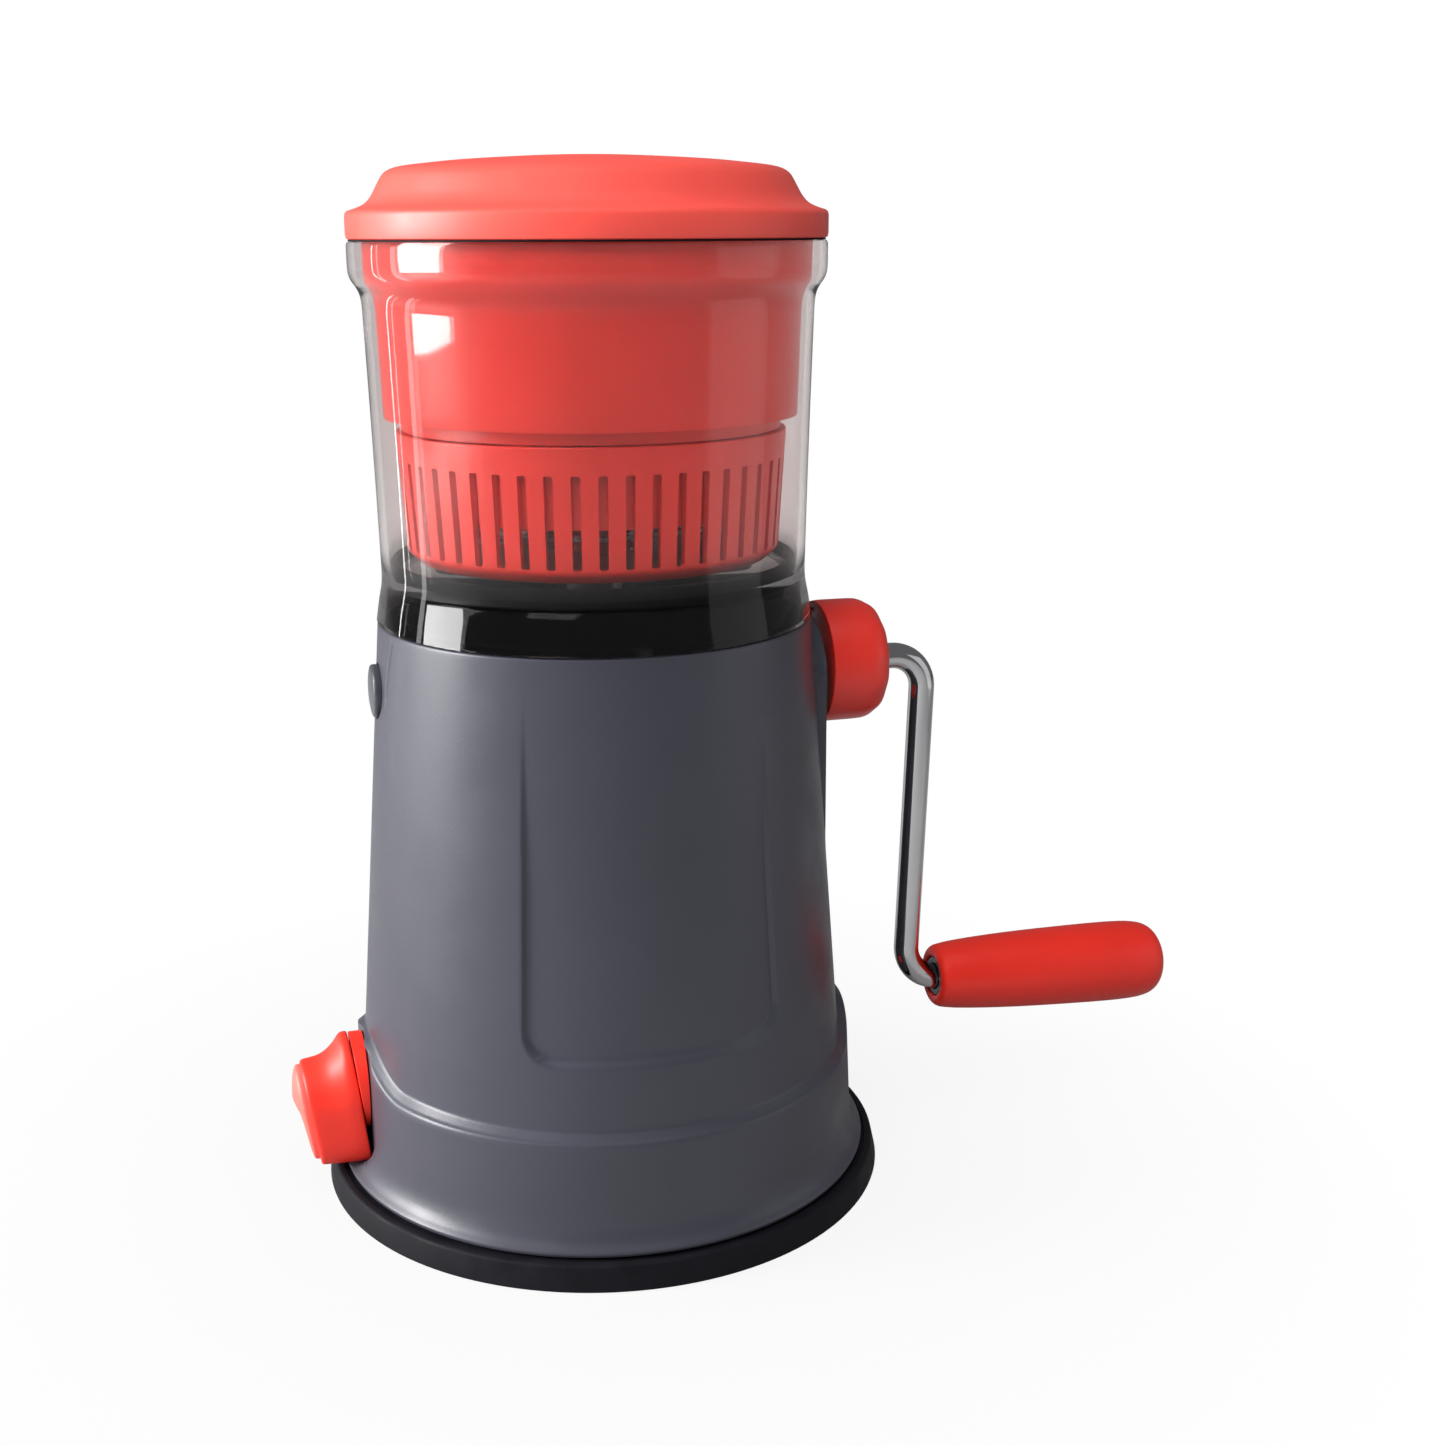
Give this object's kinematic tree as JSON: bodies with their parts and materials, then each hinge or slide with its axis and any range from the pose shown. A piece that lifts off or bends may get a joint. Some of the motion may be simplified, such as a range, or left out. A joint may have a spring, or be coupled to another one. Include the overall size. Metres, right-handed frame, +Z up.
{
  "type": "hand crank meat grinder",
  "caption": "Hand-cranked food grinder with a suction base, geared side crank, clear bowl, slotted basket, blades and lid.",
  "frame": {"origin": "centre of the rubber pad's flat underside, on the body's vertical axis", "axes": "+Z up through the bowl and lid, +X towards the crank, -Y the front"},
  "size_m": [0.2912, 0.1736, 0.305],
  "materials": {
    "slate_plastic": "satin slate grey moulding",
    "dark_plastic": "dark grey moulding",
    "black_plastic": "black moulding",
    "rubber": "black rubber",
    "red_plastic": "red moulding",
    "lever_plastic": "orange-red moulding",
    "face_plastic": "pale red inlay",
    "grip_plastic": "smooth red",
    "lid_plastic": "satin coral red",
    "chrome": "bright chrome plate",
    "steel": "plain steel",
    "brass": "sintered bronze",
    "gear_nylon": "natural nylon",
    "smoked_plastic": "clear smoked plastic"
  },
  "bodies": {
    "base": {"suction_pad": "rubber", "base_frame": "dark_plastic", "foot_screw_1": "steel", "foot_screw_2": "steel", "foot_screw_3": "steel", "foot_screw_4": "steel", "housing": "slate_plastic", "cam_bush_left": "dark_plastic", "cam_bush_right": "dark_plastic", "crank_bush_left": "dark_plastic", "crank_bush_right": "dark_plastic", "axle_cap": "dark_plastic", "top_deck": "black_plastic", "deck_screw_1": "steel", "deck_screw_2": "steel", "deck_screw_3": "steel", "drive_bush": "brass"},
    "lever": {"cam_shaft": "steel", "suction_lever": "lever_plastic", "lever_face": "face_plastic", "lever_hub": "lever_plastic", "cam_cap": "lever_plastic"},
    "yoke": {"pull_yoke": "steel"},
    "crank": {"crank_shaft": "steel", "bevel_gear": "gear_nylon", "crank_collar": "red_plastic", "crank_rod": "chrome"},
    "grip": {"grip": "grip_plastic", "grip_bush": "dark_plastic"},
    "drive": {"drive_shaft": "steel", "drive_pinion": "gear_nylon", "drive_clip": "steel"},
    "bowl": {"bowl": "smoked_plastic", "bowl_seal": "rubber"},
    "insert": {"inner_sleeve": "red_plastic", "strainer_basket": "red_plastic"},
    "blades": {"blade_hub": "red_plastic", "blade_lower": "steel", "blade_upper": "steel"},
    "lid": {"lid": "lid_plastic", "lid_seal": "rubber"}
  },
  "joints": [
    {"name": "crank_turn", "type": "hinge", "parent": "base", "child": "crank", "pos_m": [0, 0, 0.1555], "axis": [1, 0, 0], "continuous": true},
    {"name": "drive_turn", "type": "hinge", "parent": "base", "child": "drive", "pos_m": [0, 0, 0.1555], "axis": [0, 0, 1], "continuous": true},
    {"name": "blade_turn", "type": "hinge", "parent": "insert", "child": "blades", "pos_m": [0, 0, 0.2], "axis": [0, 0, 1], "continuous": true},
    {"name": "grip_spin", "type": "hinge", "parent": "crank", "child": "grip", "pos_m": [0.112, 0, 0.0456], "axis": [0.9995, 0, -0.0314], "continuous": true},
    {"name": "lever_turn", "type": "hinge", "parent": "base", "child": "lever", "pos_m": [0, 0, 0.034], "axis": [1, 0, 0], "range_deg": [-90, 0]},
    {"name": "yoke_pull", "type": "slide", "parent": "base", "child": "yoke", "axis": [0, 0, 1], "range_m": [0, 0.0031]},
    {"name": "bowl_lift", "type": "slide", "parent": "base", "child": "bowl", "axis": [0, 0, 1], "range_m": [0, 0.08]},
    {"name": "insert_lift", "type": "slide", "parent": "bowl", "child": "insert", "axis": [0, 0, 1], "range_m": [0, 0.09]},
    {"name": "lid_lift", "type": "slide", "parent": "insert", "child": "lid", "axis": [0, 0, 1], "range_m": [0, 0.06]}
  ],
  "couplings": [
    {"joint": "drive_turn", "follows": "crank_turn", "ratio": -2},
    {"joint": "blade_turn", "follows": "crank_turn", "ratio": -2},
    {"joint": "yoke_pull", "follows": "lever_turn", "m_per_rad": -0.0019099}
  ]
}
